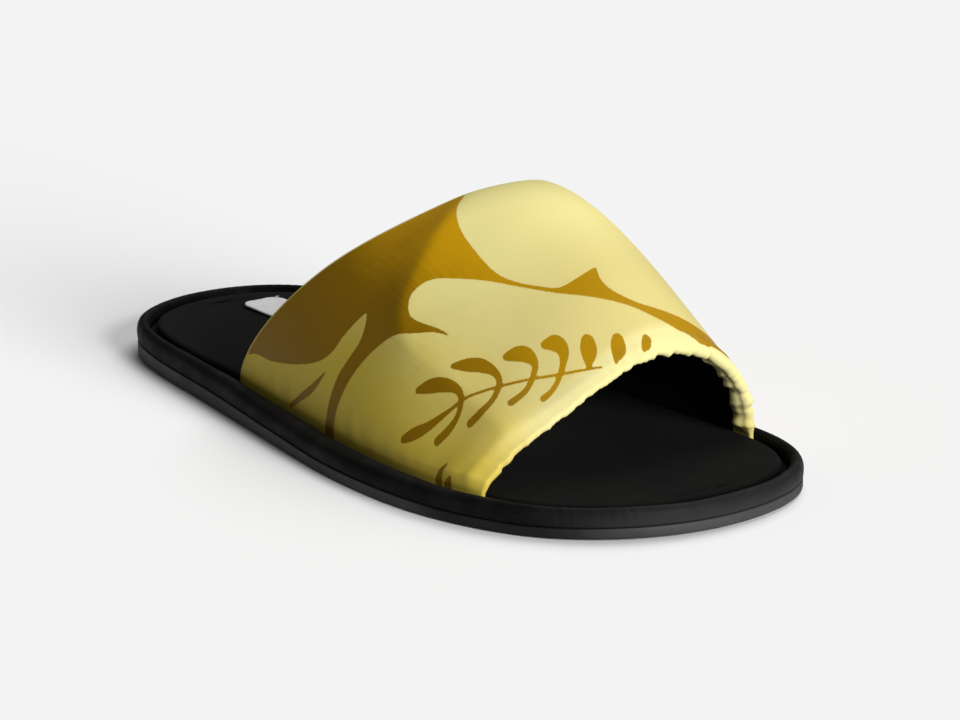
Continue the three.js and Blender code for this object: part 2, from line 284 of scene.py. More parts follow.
rubber, tree, shader, where = finish_of("moulded_rubber")
cloud = noise_of(tree, where, scale=55.0, detail=4.0)
grain = noise_of(tree, where, scale=2600.0, detail=2.0)
# Painted shade: the rubber's colour darkens along the forefoot's stretch, over random greying from wear.
along = sum_of(tree, "SUBTRACT", split_of(tree, where)["X"], SHADED_STRETCH["middle"] * MM)
away = sum_of(tree, "ABSOLUTE", along)
out_of_shade = ramp_of(tree, away, SHADED_STRETCH["near"] * MM, SHADED_STRETCH["far"] * MM)
out_of_shade = sum_of(tree, "MULTIPLY", out_of_shade, RUBBER_WEAR_AND_SHADE["out_of_shade"])
wear_and_shade = sum_of(tree, "MULTIPLY_ADD", cloud, RUBBER_WEAR_AND_SHADE["cloud"], out_of_shade)
wear_and_shade = ramp_of(tree, wear_and_shade, RUBBER_WEAR_AND_SHADE["low"], RUBBER_WEAR_AND_SHADE["high"])
dress(tree, shader, {
    "Base Color": blend_of(tree, wear_and_shade, RUBBER_DARK, RUBBER_WORN),
    "Roughness": ramp_of(tree, cloud, low=0.3, high=0.7, start=0.52, end=0.68),
    "Normal": bump_of(tree, grain, strength=0.25, distance=0.2),
    "Specular IOR Level": 0.15,
})

rows = []
for step in OUTSOLE_SECTION:
    reach, across = ring(OUTSOLE_COLUMNS, step["inset"], step["closing"])
    base = mix(height("floor", reach), height("rubber", reach), step["rubber"])
    rows.append(place(reach, across, base + step["lift"]))
shape, _ = warped_grid(np.array(rows))
outsole = finish_piece("rubber_outsole", shape, [rubber])
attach(outsole, "root")
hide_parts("outsole")

# Edge binding: a soft round roll that borders the footbed all the way round, wrapped in black cloth.
# The wrap is pulled over the roll and turned under it, so it puckers finely round the toe and the heel.
# Its colour is painted lighter at the toe, where the front light falls, and lightest low down, where light
# bounces up from the floor.
BINDING_WIDTH = 4.4
BINDING_COLUMNS = 900
BINDING_SECTION = [
    dict(inset=0.6, bed=0.0, lift=0.0, pinched=0, free=0),
    dict(inset=0.24, bed=0.0, lift=0.07, pinched=1, free=1),
    dict(inset=0.0, bed=0.0, lift=0.42, pinched=1, free=1),
    dict(inset=0.25, bed=0.0, lift=0.7, pinched=1, free=1),
    dict(inset=1.0, bed=0.05, lift=0.92, pinched=1, free=1),
    dict(inset=2.2, bed=0.25, lift=1.01, pinched=0, free=1),
    dict(inset=3.4, bed=0.6, lift=0.94, pinched=0, free=1),
    dict(inset=4.15, bed=0.9, lift=0.76, pinched=0, free=1),
    dict(inset=BINDING_WIDTH, bed=1.0, lift=0.5, pinched=0, free=0),
    dict(inset=BINDING_WIDTH, bed=1.0, lift=0.0, pinched=0, free=0),
]
BINDING_CREASE = 0.1
WRAP_STEP = 1.6
PUCKER = dict(pitch=3.1, deep=0.06, lag=0.5, least=0.15, ends=2.2, ends_from=1.0)
SWELL = dict(pitch=38.0, high=0.14)
SEAM_FADE = 0.15
WAVES = [
    dict(rate=1.0, start=0.0, high=1.0),
    dict(rate=0.83, start=1.7, high=0.6),
    dict(rate=1.31, start=0.4, high=0.5),
]
BINDING_BLACK = (0.0026, 0.0026, 0.0026, 1.0)
BINDING_SHEEN = (0.0062, 0.0062, 0.006, 1.0)
# Painted light: the grey of the toe's border where the light falls on it.
BINDING_TOE_LIT = (0.0205, 0.0205, 0.02, 1.0)
# Where the painted light on the toe begins and ends, and how it is brightest low down.
TOE_PAINTED_LIGHT = dict(start=112.0, end=144.0, low=4.5, high=9.5, least=0.4)


def run_along(points):
    """Distance along a row of points, from its first."""
    steps = np.linalg.norm(np.diff(points, axis=0), axis=1)
    return np.concatenate([[0.0], np.cumsum(steps)])


def ripple(run, pitch, start=0.0):
    """An uneven wave along a run: three close pitches that drift in and out of step."""
    turn = 2 * math.pi * run / pitch + start
    waves = sum(wave["high"] * np.sin(wave["rate"] * turn + wave["start"]) for wave in WAVES)
    return waves / sum(wave["high"] for wave in WAVES)


reach, across = ring(BINDING_COLUMNS, 0.0)
rim_run = run_along(place(reach, across, 0.0))
to_ends = np.abs(2 * reach / LENGTH - 1) * PUCKER["ends"] - PUCKER["ends_from"]
seam_fade = np.sin(math.pi * np.linspace(0.0, 1.0, BINDING_COLUMNS + 1)) ** SEAM_FADE
pucker_depth = PUCKER["deep"] * np.clip(to_ends, PUCKER["least"], 1.0) * seam_fade
swell = SWELL["high"] * ripple(rim_run, SWELL["pitch"]) * seam_fade
rows, cloth = [], []
for index, step in enumerate(BINDING_SECTION):
    fold = pucker_depth * ripple(rim_run, PUCKER["pitch"], PUCKER["lag"] * index)
    reach, across = ring(BINDING_COLUMNS, step["inset"] - step["pinched"] * fold, bed=step["bed"])
    low = height("rubber", reach) + BINDING_CREASE
    up = mix(low, height("crest", reach), step["lift"])
    rows.append(place(reach, across, up + step["free"] * step["lift"] * (fold + swell)))
    cloth.append(np.stack([rim_run, np.full_like(rim_run, WRAP_STEP * index)], axis=-1))
rows.append(rows[0])
cloth.append(np.stack([rim_run, np.full_like(rim_run, WRAP_STEP * len(BINDING_SECTION))], axis=-1))


def wave_of(tree, run, pitch):
    """A sine wave along a shader value in metres, with its pitch in millimetres."""
    return sum_of(tree, "SINE", sum_of(tree, "MULTIPLY", run, 2 * math.pi / (pitch * MM)))


def weave_of(tree, pitch, slant=0.0):
    """Raised threads that run along the cloth map, as a value from 0 to 1, and the map itself."""
    threads = add_node(tree, "ShaderNodeUVMap", dict(uv_map="cloth")).outputs["UV"]
    axes = split_of(tree, threads)
    run = sum_of(tree, "MULTIPLY_ADD", axes["X"], slant, axes["Y"])
    return sum_of(tree, "MULTIPLY_ADD", wave_of(tree, run, pitch), 0.5, 0.5), threads


binding_cloth, tree, shader, where = finish_of("binding_cloth")
twill, _ = weave_of(tree, pitch=0.7, slant=1.0)
wear = noise_of(tree, where, scale=90.0, detail=5.0)
fluff = noise_of(tree, where, scale=1500.0)
axes = split_of(tree, where)
# Painted light: lighter towards the toe and low down, where the light falls and bounces up from the floor.
to_toe = ramp_of(tree, axes["X"], TOE_PAINTED_LIGHT["start"] * MM, TOE_PAINTED_LIGHT["end"] * MM)
bounce_low_down = ramp_of(
    tree, axes["Z"], TOE_PAINTED_LIGHT["low"] * MM, TOE_PAINTED_LIGHT["high"] * MM, start=1.0, end=TOE_PAINTED_LIGHT["least"]
)
toe_painted_light = sum_of(tree, "MULTIPLY", to_toe, bounce_low_down)
tone = blend_of(tree, ramp_of(tree, wear, low=0.4, high=0.72), BINDING_BLACK, BINDING_SHEEN)
woven = bump_of(tree, twill, strength=0.12, distance=0.15)
dress(tree, shader, {
    "Base Color": blend_of(tree, toe_painted_light, tone, BINDING_TOE_LIT),
    "Roughness": ramp_of(tree, wear, low=0.3, high=0.75, start=0.62, end=0.48),
    "Normal": bump_of(tree, fluff, strength=0.2, distance=0.3, over=woven),
    "Specular IOR Level": 0.04,
    "Sheen Weight": 0.003,
    "Sheen Roughness": 0.5,
})

shape, _ = warped_grid(np.array(rows), cloth=np.array(cloth))
binding = finish_piece("cloth_binding", shape, [binding_cloth], crease=75)
rounding = binding.modifiers.new("round", "SUBSURF")
rounding.levels = rounding.render_levels = 1
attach(binding, "root")
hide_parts("edge_binding")

# Insole: the footbed inside the border, board and thin foam under a matt black cloth with a short nap.
# Its edge rolls down into the groove beside the border, and the bed is a little hollow along the middle.
# The cloth is a little paler towards the heel, and a few specks of lint cling to it.
GAP = 0.3
GROOVE_WIDTH = 2.3
GROOVE_DEPTH = 3.4
BED_DROP = 1.1
BED_DISH = 0.7
BED_SHOULDER = 1.5
INSOLE_COLUMNS = 360
BED_EDGE = BINDING_WIDTH + GROOVE_WIDTH
INSOLE_SECTION = [
    dict(inset=BINDING_WIDTH + GAP, closing=1.0, level="base", lift=0.0),
    dict(inset=BINDING_WIDTH + GAP, closing=0.0, level="base", lift=0.0),
    dict(inset=BINDING_WIDTH + GAP, closing=0.0, level="groove", lift=0.0),
    dict(inset=BED_EDGE, closing=0.0, level="groove", lift=0.0),
    dict(inset=BED_EDGE, closing=0.0, level="bed", lift=-BED_SHOULDER),
    dict(inset=BED_EDGE + 0.12, closing=0.0, level="bed", lift=-0.93),
    dict(inset=BED_EDGE + 0.45, closing=0.0, level="bed", lift=-0.45),
    dict(inset=BED_EDGE + 0.93, closing=0.0, level="bed", lift=-0.13),
    dict(inset=BED_EDGE + BED_SHOULDER, closing=0.0, level="bed", lift=-0.02),
    dict(inset=BED_EDGE + 3.0, closing=0.0, level="bed", lift=0.0),
    dict(inset=BED_EDGE + 6.0, closing=0.0, level="bed", lift=-0.1),
    dict(inset=BED_EDGE + 6.0, closing=0.2, level="bed", lift=-0.6 * BED_DISH),
    dict(inset=BED_EDGE + 6.0, closing=0.4, level="bed", lift=-0.9 * BED_DISH),
    dict(inset=BED_EDGE + 6.0, closing=0.7, level="bed", lift=-BED_DISH),
    dict(inset=BED_EDGE + 6.0, closing=1.0, level="bed", lift=-BED_DISH),
]
FOOTBED_BLACK = (0.0019, 0.0018, 0.0017, 1.0)
FOOTBED_NAP = (0.0044, 0.0039, 0.0031, 1.0)
FOOTBED_HEEL = (0.0085, 0.0085, 0.0078, 1.0)
# How the bed's colour grows paler towards the heel.
HEEL_PALER = dict(full=-100.0, end=-20.0)
NAP_STRETCH = (0.35, 1.0, 1.0)
LINT = (0.16, 0.155, 0.15, 1.0)
LINT_SPECKS = dict(scale=150.0, size=0.07, rarity=0.93)


def bed_height(reach):
    return height("crest", reach) - BED_DROP


LEVELS = {
    "base": lambda reach: height("rubber", reach) + GAP,
    "groove": lambda reach: bed_height(reach) - GROOVE_DEPTH,
    "bed": bed_height,
}


def fade_of(tree, value, low, high):
    """A soft step of a value down, from 1 to 0."""
    return ramp_of(tree, value, low, high, start=1.0, end=0.0)


footbed_cloth, tree, shader, where = finish_of("footbed_cloth")
brushed = add_node(tree, "ShaderNodeMapping", Vector=where, Scale=NAP_STRETCH).outputs["Vector"]
nap = noise_of(tree, brushed, scale=1400.0, detail=4.0, roughness=0.65)
tread = noise_of(tree, where, scale=28.0)
dust = add_node(tree, "ShaderNodeTexVoronoi", Vector=brushed, Scale=LINT_SPECKS["scale"])
speck = sum_of(tree, "LESS_THAN", dust.outputs["Distance"], LINT_SPECKS["size"])
chance = add_node(tree, "ShaderNodeSeparateColor", Color=dust.outputs["Color"]).outputs["Red"]
lint_share = sum_of(tree, "MULTIPLY", speck, sum_of(tree, "GREATER_THAN", chance, LINT_SPECKS["rarity"]))
to_heel = fade_of(tree, split_of(tree, where)["X"], HEEL_PALER["full"] * MM, HEEL_PALER["end"] * MM)
tone = blend_of(tree, ramp_of(tree, tread, low=0.35, high=0.7), FOOTBED_BLACK, FOOTBED_NAP)
tone = blend_of(tree, to_heel, tone, FOOTBED_HEEL)
dress(tree, shader, {
    "Base Color": blend_of(tree, lint_share, tone, LINT),
    "Normal": bump_of(tree, nap, strength=0.45, distance=0.4),
    "Roughness": 0.92,
    "Specular IOR Level": 0.03,
    "Sheen Weight": 0.008,
    "Sheen Roughness": 0.6,
})

rows = []
for step in INSOLE_SECTION:
    reach, across = ring(INSOLE_COLUMNS, step["inset"], step["closing"], bed=1.0)
    rows.append(place(reach, across, LEVELS[step["level"]](reach) + step["lift"]))
shape, _ = warped_grid(np.array(rows))
insole = finish_piece("cloth_footbed", shape, [footbed_cloth], crease=60)
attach(insole, "root")
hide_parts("insole")

# Label: a short piece of plain white woven tape with rounded corners, on the footbed near the heel.
# It lies flat on the bed and is sewn down with a row of white stitches across each end.
LABEL = dict(heel=20.0, toe=54.0, lateral=2.5, medial=17.5, thick=0.5, corner=4.5)
LABEL_STEPS = dict(long=34, wide=16)
LABEL_CURL = dict(high=0.12, long_power=8, wide_power=6)
LABEL_WAVE = dict(high=0.1, along=1.5, across=0.3)
STITCH = dict(count=5, long=1.7, wide=0.384, thick=0.24, inset=2.2, proud=0.096)
TAPE_WHITE = (0.78, 0.78, 0.77, 1.0)
TAPE_SHADE = (0.68, 0.68, 0.67, 1.0)
THREAD_WHITE = (0.74, 0.74, 0.72, 1.0)
RIB_SHARE = 0.8


def tape(name, tone_light, tone_dark, pitch):
    """White woven tape or thread: fine ribs across, a little soiled."""
    material, tree, shader, where = finish_of(name)
    axes = split_of(tree, where)
    ribs = wave_of(tree, axes["X"], pitch)
    cross = wave_of(tree, axes["Y"], RIB_SHARE * pitch)
    soil = noise_of(tree, where, scale=160.0, detail=4.0)
    dress(tree, shader, {
        "Base Color": blend_of(tree, ramp_of(tree, soil, low=0.45, high=0.8), tone_light, tone_dark),
        "Normal": bump_of(tree, sum_of(tree, "MULTIPLY", ribs, cross), strength=0.3, distance=0.1),
        "Roughness": 0.72,
    })
    return material


white_tape = tape("label_tape", TAPE_WHITE, TAPE_SHADE, pitch=0.5)
white_thread = tape("label_thread", THREAD_WHITE, TAPE_SHADE, pitch=0.2)
long_steps = (1 - np.cos(math.pi * np.linspace(0.0, 1.0, LABEL_STEPS["long"] + 1))) / 2
wide_steps = np.linspace(0.0, 1.0, LABEL_STEPS["wide"] + 1)
long_share, wide_share = np.meshgrid(long_steps, wide_steps)
sideways = 2 * wide_share - 1
reach = mix(LABEL["heel"], LABEL["toe"], long_share)
to_end = np.minimum(reach - LABEL["heel"], LABEL["toe"] - reach)
into_corner = np.maximum(LABEL["corner"] - to_end, 0.0)
trim = LABEL["corner"] - np.sqrt(LABEL["corner"] ** 2 - into_corner**2)
half_label = (LABEL["medial"] - LABEL["lateral"]) / 2 - trim
across = (LABEL["medial"] + LABEL["lateral"]) / 2 + half_label * sideways
curl = np.abs(2 * long_share - 1) ** LABEL_CURL["long_power"]
curl = LABEL_CURL["high"] * curl * np.abs(sideways) ** LABEL_CURL["wide_power"]
wave_turn = 2 * math.pi * (LABEL_WAVE["along"] * long_share + LABEL_WAVE["across"] * wide_share)
waviness = LABEL_WAVE["high"] * np.sin(wave_turn) * (1 - wide_share)
up = bed_height(reach) + GAP + curl + waviness
shape, _ = warped_grid(place(reach, across, up))
label = finish_piece("bare_label", shape, [white_tape])
thickness = label.modifiers.new("tape", "SOLIDIFY")
thickness.thickness = LABEL["thick"] * MM
thickness.offset = 1.0
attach(label, "root")
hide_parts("label")

shape = bmesh.new()
stitch_size = (STITCH["wide"], STITCH["long"], STITCH["thick"])
for end in (LABEL["heel"] + STITCH["inset"], LABEL["toe"] - STITCH["inset"]):
    for index in range(STITCH["count"]):
        side = mix(LABEL["lateral"], LABEL["medial"], (index + 0.5) / STITCH["count"])
        up = bed_height(end) + GAP + LABEL["thick"] + STITCH["proud"]
        made = bmesh.ops.create_uvsphere(shape, u_segments=8, v_segments=6, radius=0.5 * MM)["verts"]
        bmesh.ops.scale(shape, verts=made, vec=stitch_size)
        bmesh.ops.translate(shape, verts=made, vec=Vector(place(end, side, up)) * MM)
stitches = finish_piece("label_stitches", shape, [white_thread], crease=80)
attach(stitches, "root")

# Upper: one wide band of two-tone gold damask over the instep, lined with black cloth.
# Its side margins are glued down in the groove, its back edge is turned clean, and its front edge is
# rolled into a pale, puckered hem with a ragged lip.
REAR = dict(lateral_foot=94.0, medial_foot=98.0, lean=72.5, rise=71.4, ridge=0.3)
FRONT = dict(lateral_foot=236.0, medial_foot=236.0, lean=0.5, rise=33.0, ridge=0.29)
FLANKS = {
    "lateral": dict(rear_low=0.36, rear_full=0.63, front_low=0.14, front_full=0.24),
    "medial": dict(rear_low=0.68, rear_full=0.76, front_low=0.5, front_full=0.72),
}
BELLY = 10.0
LEAN_POWER = 1.44
WALL = 1.6
ARCH_STEPS = 250
MARGIN_STEPS = 3
FREE_STEPS = 6.0
CURVE_SAMPLES = 160
OUTER_ROWS = 150
OUTER_CROWDING = 0.92
INNER_ROWS = 36
INNER_CROWDING = 1.3
TURNED_ROWS = 4
ROLL_STEPS = 9
BACK_ROLL_STEPS = 4
BACK_INSET = 0.006
HEM = dict(wide=4.6, wide_foot=7.5, lift=0.55, inner=0.35, slope=1.6, full=0.55)
HEM_WIDENING = dict(start=0.375, power=1.5)
LIVELY = dict(least=0.22, start=-0.3, end=0.1)
GATHER = dict(high=0.22, pitch=4.6, wave=0.55, lump=1.6, span=11, start=2.2, full=0.3, scallop=0.4)
RAG = dict(high=0.95, fine=0.5, fine_span=5, lump=0.6, least=0.45)
TURN_IN = dict(deep=2.6, back=2.6, wide=2.8, knots=1.425, start=0.02, full=0.4)
CORNER = dict(back=7.4, high=1.7, ahead=5.0, behind=11.0, start=34.0, full=58.0)
FOOT_PULL = dict(high=0.26, pitch=11.0, slant=0.3, phase=1.0, drift=53.0, start=0.84, full=0.985)
SLACK = dict(high=0.22, long_reach=17.0, long_drape=23.0, cross_drape=14.0, cross_reach=31.0)
RIDGE = dict(
    high=2.9,
    wide=11.5,
    round=2.2,
    back_start=-9.0,
    back_full=16.0,
    line=[(160, -8), (165, -18), (169, -30), (170, -43), (172, -54), (182, -60), (202, -59), (229, -57)],
)
DAMASK_SEED = 7
CURVE_STEPS = 10


def foot_across(side, reach):
    """Where the band's wall comes out of the groove, on one side."""
    slope = half_width(side, reach + 0.5) - half_width(side, reach - 0.5)
    return half_width(side, reach) - (BINDING_WIDTH + GROOVE_WIDTH / 2) * np.hypot(1.0, slope)


def band(share, side, t):
    """Middle of the band's wall, from its foot (0) to its crown (1), at a share from back to front edge."""
    flank = FLANKS[side]
    low = mix(flank["rear_low"], flank["front_low"], share)
    full = mix(flank["rear_full"], flank["front_full"], share)
    rest = 1.0 - t
    inward = 3 * t**2 * rest * (1 - full) + t**3
    up = 3 * t * rest**2 * low + 3 * t**2 * rest + t**3
    over = inward / 2 if side == "lateral" else 1 - inward / 2
    reach = 0.0
    for edge, weight in ((REAR, 1 - share), (FRONT, share)):
        foot = mix(edge["lateral_foot"], edge["medial_foot"], over)
        reach = reach + weight * (foot + edge["lean"] * up**LEAN_POWER)
    lateral, medial = -foot_across("lateral_bed", reach), foot_across("medial", reach)
    ridge = mix(REAR["ridge"], FRONT["ridge"], share)
    crown = (lateral + medial) / 2 + ridge * (medial - lateral) / 2
    rise = mix(REAR["rise"], FRONT["rise"], share) + BELLY * 4 * share * (1 - share)
    foot = lateral if side == "lateral" else medial
    return place(reach, mix(foot, crown, inward), bed_height(reach) + rise * up)


def band_row(share):
    """One row over the instep at even steps, margins included, with its distance from the crown."""
    t = np.linspace(0.0, 1.0, CURVE_SAMPLES + 1)
    arch = np.vstack([band(share, "lateral", t), band(share, "medial", t[::-1])[1:]])
    run = run_along(arch)
    drape = run_along(arch * (0.0, 1.0, 1.0))
    drape -= drape[CURVE_SAMPLES]
    even = np.linspace(0.0, run[-1], ARCH_STEPS + 1)
    points = np.stack([np.interp(even, run, arch[:, axis]) for axis in range(3)], axis=-1)
    drape = np.interp(even, run, drape)
    margins = []
    for foot in (points[0], points[-1]):
        bottom = bed_height(foot[0] + LENGTH / 2) - GROOVE_DEPTH + GAP
        margin = np.repeat(foot[None, :], MARGIN_STEPS, axis=0)
        margin[:, 2] = np.linspace(bottom, foot[2], MARGIN_STEPS + 1)[:-1]
        margins.append(margin)
    deep = np.linspace(GROOVE_DEPTH, 0.0, MARGIN_STEPS + 1)[:-1]
    points = np.vstack([margins[0], points, margins[1][::-1]])
    drape = np.concatenate([drape[0] - deep, drape, drape[-1] + deep[::-1]])
    return points, drape


shares = mix(BACK_INSET, 1.0, np.linspace(0.0, 1.0, OUTER_ROWS + 1) ** OUTER_CROWDING)
laid = [band_row(share) for share in shares]
middle = np.array([points for points, _ in laid])
drape = np.array([distance for _, distance in laid])
over = np.gradient(middle, axis=1)
ahead = np.gradient(middle, axis=0)
ahead /= np.linalg.norm(ahead, axis=-1, keepdims=True)
outward = np.cross(over, ahead)
outward /= np.linalg.norm(outward, axis=-1, keepdims=True)
outward *= np.sign(outward[OUTER_ROWS // 2, ARCH_STEPS // 2, 2])
columns = middle.shape[1]
row_steps = np.linalg.norm(np.diff(middle, axis=0), axis=-1)
to_back = np.vstack([np.zeros((1, columns)), row_steps.cumsum(axis=0)])
to_front = np.vstack([row_steps[::-1].cumsum(axis=0)[::-1], np.zeros((1, columns))])
reach_map = middle[..., 0] + LENGTH / 2
edge_run = run_along(middle[-1])
column_share = np.linspace(-1.0, 1.0, columns)
from_middle = np.abs(column_share)
free = np.clip((1 - from_middle) * columns / 2 - MARGIN_STEPS, 0.0, FREE_STEPS) / FREE_STEPS
to_foot = np.clip((from_middle - HEM_WIDENING["start"]) / (1 - HEM_WIDENING["start"]), 0.0, 1.0)
hem_wide = mix(HEM["wide"], HEM["wide_foot"], to_foot ** HEM_WIDENING["power"])


def soft_step(value, low, high):
    t = np.clip((value - low) / (high - low), 0.0, 1.0)
    return t * t * (3 - 2 * t)


def smooth_run(points):
    """A smooth line through a few places of any number of columns."""
    places = np.array(points, float)
    padded = np.vstack([2 * places[0] - places[1], places, 2 * places[-1] - places[-2]])
    t = np.linspace(0.0, 1.0, CURVE_STEPS, endpoint=False)[:, None]
    line = []
    for index in range(len(places) - 1):
        a, b, c, d = padded[index:index + 4]
        line.append(b + 0.5 * t * (c - a + t * (2 * a - 5 * b + 4 * c - d + t * (3 * (b - c) + d - a))))
    return np.vstack([*line, places[-1:]])


def to_segment(cloth, start, end):
    """Distance of places on the cloth to a straight piece, and how far along it the nearest point is."""
    step = end - start
    along = np.clip(((cloth - start) @ step) / max(step @ step, 1e-9), 0.0, 1.0)
    nearest = start + along[..., None] * step
    return np.linalg.norm(cloth - nearest, axis=-1), along


def near_line(cloth, line, wide, rounding):
    """A fold of height 1 along a line on the cloth: a crest that is rounded, with slopes that run out."""
    away = np.min([to_segment(cloth, start, end)[0] for start, end in zip(line[:-1], line[1:])], axis=0)
    return np.exp(-(np.hypot(away, rounding) - rounding) / wide)


draws = np.random.default_rng(DAMASK_SEED)


def uneven(span):
    """Random swings along the hem, smoothed over a span of columns."""
    weights = np.hanning(span)
    return np.convolve(draws.uniform(-1.0, 1.0, columns), weights / weights.sum(), mode="same")


lump = GATHER["lump"] * uneven(GATHER["span"])
knots = TURN_IN["knots"] * uneven(GATHER["span"])
fine_rag = RAG["fine"] * uneven(RAG["fine_span"])

cloth_place = np.stack([reach_map, drape], axis=-1)
ridge = RIDGE["high"] * near_line(cloth_place, smooth_run(RIDGE["line"]), RIDGE["wide"], RIDGE["round"])
ridge = ridge * soft_step(to_back, RIDGE["back_start"], RIDGE["back_full"])

lively = mix(LIVELY["least"], 1.0, soft_step(column_share, LIVELY["start"], LIVELY["end"]))
hem_body = soft_step(-to_front, -hem_wide - HEM["slope"], -hem_wide * HEM["full"])
gather = (GATHER["wave"] * ripple(edge_run, GATHER["pitch"]) + lump) * lively
gather_fade = soft_step(-to_front, -GATHER["start"] * hem_wide, -GATHER["full"] * hem_wide)

foot_pull = ripple(reach_map + FOOT_PULL["slant"] * drape, FOOT_PULL["pitch"], FOOT_PULL["phase"])
foot_pull = FOOT_PULL["high"] * foot_pull * (0.5 + 0.5 * ripple(reach_map, FOOT_PULL["drift"]))
foot_pull = foot_pull * soft_step(from_middle, FOOT_PULL["start"], FOOT_PULL["full"])

corner_wide = np.where(to_front < CORNER["back"], CORNER["ahead"], CORNER["behind"])
corner_roll = CORNER["high"] * np.exp(-(((to_front - CORNER["back"]) / corner_wide) ** 2))
corner_roll = corner_roll * soft_step(-drape, CORNER["start"], CORNER["full"])

slack = np.sin(reach_map / SLACK["long_reach"] + drape / SLACK["long_drape"])
slack = SLACK["high"] * slack * np.sin(drape / SLACK["cross_drape"] - reach_map / SLACK["cross_reach"])

turned_in = TURN_IN["deep"] * np.exp(-(((to_front - TURN_IN["back"]) / TURN_IN["wide"]) ** 2))
turned_in = turned_in * soft_step(column_share, TURN_IN["start"], TURN_IN["full"]) * (1 + knots)

folds = ridge + corner_roll + slack
outer_relief = HEM["lift"] * hem_body + GATHER["high"] * gather * gather_fade + foot_pull + folds
inner_relief = HEM["inner"] * hem_body + turned_in - folds
rag = RAG["high"] * (fine_rag + RAG["lump"] * lump) * mix(RAG["least"], 1.0, lively)
lip = (GATHER["scallop"] * gather + rag) * free
forward = ahead * (lip * soft_step(-to_front, -hem_wide, 0.0))[..., None]
outer = middle + outward * (WALL / 2 + outer_relief * free)[..., None] + forward
inner = middle - outward * (WALL / 2 + inner_relief * free)[..., None] + forward


def rolled_edge(first, last, beyond, steps):
    """Rows in a half round from one face of the wall to the other, past an edge."""
    centre = (first + last) / 2
    arm = (first - last) / 2
    bulge = beyond * np.linalg.norm(arm, axis=-1, keepdims=True)
    turns = np.linspace(0.0, math.pi, steps + 1)[1:-1]
    return [centre + arm * math.cos(turn) + bulge * math.sin(turn) for turn in turns]


inner_rows = OUTER_ROWS * (1 - np.linspace(0.0, 1.0, INNER_ROWS + 1) ** INNER_CROWDING)
inner_rows = np.round(inner_rows).astype(int)
front_roll = rolled_edge(outer[-1], inner[-1], ahead[-1], ROLL_STEPS)
back_roll = rolled_edge(inner[0], outer[0], -ahead[0], BACK_ROLL_STEPS)
rows = np.array([*outer, *front_roll, *inner[inner_rows], *back_roll, outer[0]])

# Damask motif: pale leaves on a gold ground, woven in. A leaf is a closed outline of smooth runs that
# meet in points, and a frond is a set of strokes with a half width at each place, all in millimetres of
# cloth: reach from the heel, and distance from the crown, outer side negative.
LEAVES = {
    "front_leaf": [
        [(160, -112), (159, -93), (159, -86), (161, -78), (166, -69), (173, -61), (181, -56), (187, -52),
         (194, -49)],
        [(194, -49), (187, -50.5), (181, -52.5), (176, -53), (173, -50), (173.5, -46), (177, -41.5),
         (184, -37), (193, -31.5), (202, -26), (210.5, -19.5), (217, -12.5), (222.8, -5), (228, 3),
         (232, 10.5), (236, 17), (250, 25)],
        [(250, 25), (250, -112)],
        [(250, -112), (160, -112)],
    ],
    "crown_leaf": [
        [(213, -4), (212.5, -11), (211, -17), (206.5, -21.5), (200, -26), (193, -28.5), (184, -28.5),
         (175.5, -27), (169, -23), (165, -17), (160, -10), (157, 2), (159, 16), (167, 27), (179, 34),
         (191, 36), (203, 34), (211, 29)],
        [(211, 29), (217, 33), (223.5, 34), (229, 31)],
        [(229, 31), (229.5, 23), (228.5, 15), (227, 7.5), (224.6, 1), (220.6, -3.4), (216.6, -5),
         (213, -4)],
    ],
    "flame_leaf": [
        [(157, -60), (153.5, -64.5), (150, -70), (147, -75.5), (140.5, -80.5), (128.5, -85), (114.5, -88),
         (104, -88.5), (97, -91.5), (88, -99)],
        [(88, -99), (88, -112)],
        [(88, -112), (154, -112)],
        [(154, -112), (153.5, -100), (153.5, -93), (153.3, -86.5), (154.2, -79.5), (157, -73), (159, -68),
         (158.7, -63.5), (157, -60)],
    ],
    "inner_flame_leaf": [
        [(158, 44), (151, 52), (142, 61), (130, 68), (116, 73), (104, 76), (90, 84)],
        [(90, 84), (90, 110)],
        [(90, 110), (152, 110)],
        [(152, 110), (152, 90), (153, 77), (156, 65), (160, 54), (158, 44)],
    ],
    "inner_front_leaf": [
        [(166, 110), (167, 86), (166, 74), (169, 62), (177, 53.5), (187, 49), (195, 49.5), (201, 54)],
        [(201, 54), (204, 49), (211, 46.5), (220, 46.5), (229, 49), (250, 54)],
        [(250, 54), (250, 110)],
        [(250, 110), (166, 110)],
    ],
}
